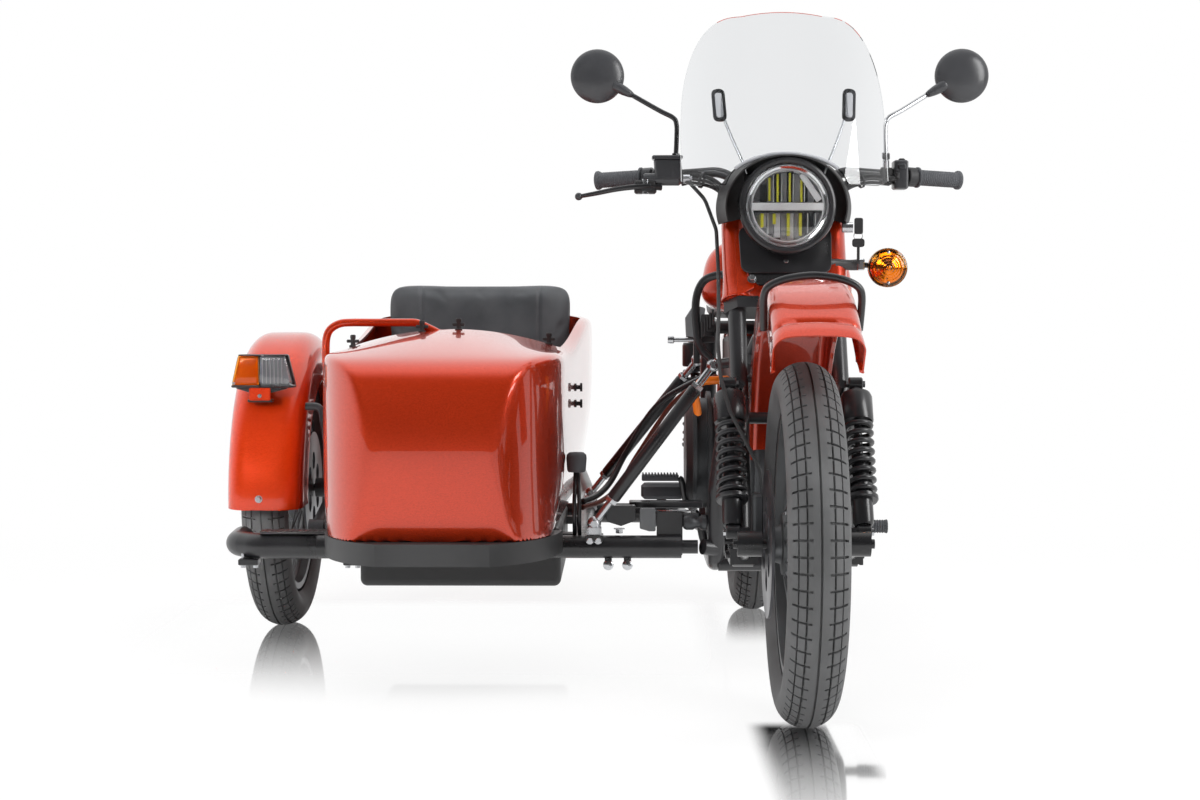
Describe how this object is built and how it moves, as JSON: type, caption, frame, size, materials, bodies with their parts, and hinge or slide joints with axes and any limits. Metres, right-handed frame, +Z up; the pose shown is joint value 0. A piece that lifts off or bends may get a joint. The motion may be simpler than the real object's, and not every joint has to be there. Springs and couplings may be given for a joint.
{
  "type": "electric sidecar motorcycle",
  "caption": "burnt-orange electric motorcycle with a passenger sidecar, clear windscreen, wire wheels and block tyres",
  "frame": {"origin": "on the ground, under the middle of the bounding box", "axes": "+Z up, -Y toward the front of the vehicle, -X toward the sidecar"},
  "size_m": [1.717, 2.4459, 1.4209],
  "materials": {
    "orange_paint": "gloss",
    "black_enamel": "satin",
    "cast_alloy": "satin",
    "bright_steel": "satin",
    "chrome_trim": "gloss",
    "black_plastic": "matte",
    "grey_vinyl": "satin",
    "tyre_rubber": "matte",
    "soft_rubber": "matte",
    "orange_cable": "satin",
    "clear_screen": "gloss",
    "amber_lens": "gloss",
    "red_lens": "gloss"
  },
  "bodies": {
    "chassis": {"main_frame": "black_enamel", "fuel_tank": "orange_paint", "battery_block": "black_enamel", "drive_housing": "cast_alloy", "drive_cradle": "black_enamel", "gear_block": "cast_alloy", "power_cables": "orange_cable", "swing_arm": "black_enamel", "final_drive": "cast_alloy", "rear_shocks": "black_enamel", "rear_fender": "orange_paint", "rider_saddle": "grey_vinyl", "tail_lamp": "red_lens", "number_plate": "black_plastic", "footrests": "black_enamel", "sidecar_frame": "black_enamel", "sidecar_struts": "black_enamel", "sidecar_tub": "orange_paint", "sidecar_cushion": "grey_vinyl", "sidecar_backrest": "grey_vinyl", "grab_rail": "orange_paint", "nose_skirt": "black_plastic", "battery_box": "black_enamel", "sidecar_step": "black_enamel", "sidecar_fender": "orange_paint", "fender_lamp": "amber_lens", "sidecar_swing_arm": "black_enamel", "sidecar_shock": "black_enamel"},
    "steering": {"fork": "black_enamel", "leading_link": "black_enamel", "front_shocks": "black_enamel", "fork_covers": "orange_paint", "front_fender": "orange_paint", "fender_rail": "black_enamel", "headlamp": "chrome_trim", "headlamp_nacelle": "black_enamel", "handlebar": "bright_steel", "grips": "soft_rubber", "hand_controls": "black_plastic", "mirrors": "black_enamel", "windscreen": "clear_screen", "windscreen_brackets": "black_enamel", "front_caliper": "cast_alloy", "turn_signal": "amber_lens", "brake_hose": "soft_rubber"},
    "front_wheel": {"front_tyre": "tyre_rubber", "front_wheel_rim": "cast_alloy", "front_brake_disc": "bright_steel"},
    "rear_wheel": {"rear_tyre": "tyre_rubber", "rear_wheel_rim": "cast_alloy", "rear_brake_disc": "bright_steel"},
    "sidecar_wheel": {"sidecar_tyre": "tyre_rubber", "sidecar_wheel_rim": "cast_alloy", "sidecar_brake_disc": "bright_steel"},
    "trunk_lid": {"trunk_lid": "orange_paint"}
  },
  "joints": [
    {"name": "steering_turn", "type": "hinge", "parent": "chassis", "child": "steering", "pos_m": [0.405, -0.40562, 0.89211], "axis": [0, 0.4848, 0.8746], "range_deg": [-35, 35]},
    {"name": "front_wheel_spin", "type": "hinge", "parent": "steering", "child": "front_wheel", "pos_m": [0.405, -0.88, 0.343], "axis": [1, 0, 0], "continuous": true},
    {"name": "rear_wheel_spin", "type": "hinge", "parent": "chassis", "child": "rear_wheel", "pos_m": [0.405, 0.62, 0.343], "axis": [1, 0, 0], "continuous": true},
    {"name": "sidecar_wheel_spin", "type": "hinge", "parent": "chassis", "child": "sidecar_wheel", "pos_m": [-0.78, 0.342, 0.343], "axis": [1, 0, 0], "continuous": true},
    {"name": "trunk_lid_open", "type": "hinge", "parent": "chassis", "child": "trunk_lid", "pos_m": [-0.3, 0.628, 0.797], "axis": [1, 0, 0], "range_deg": [0, 75]}
  ]
}
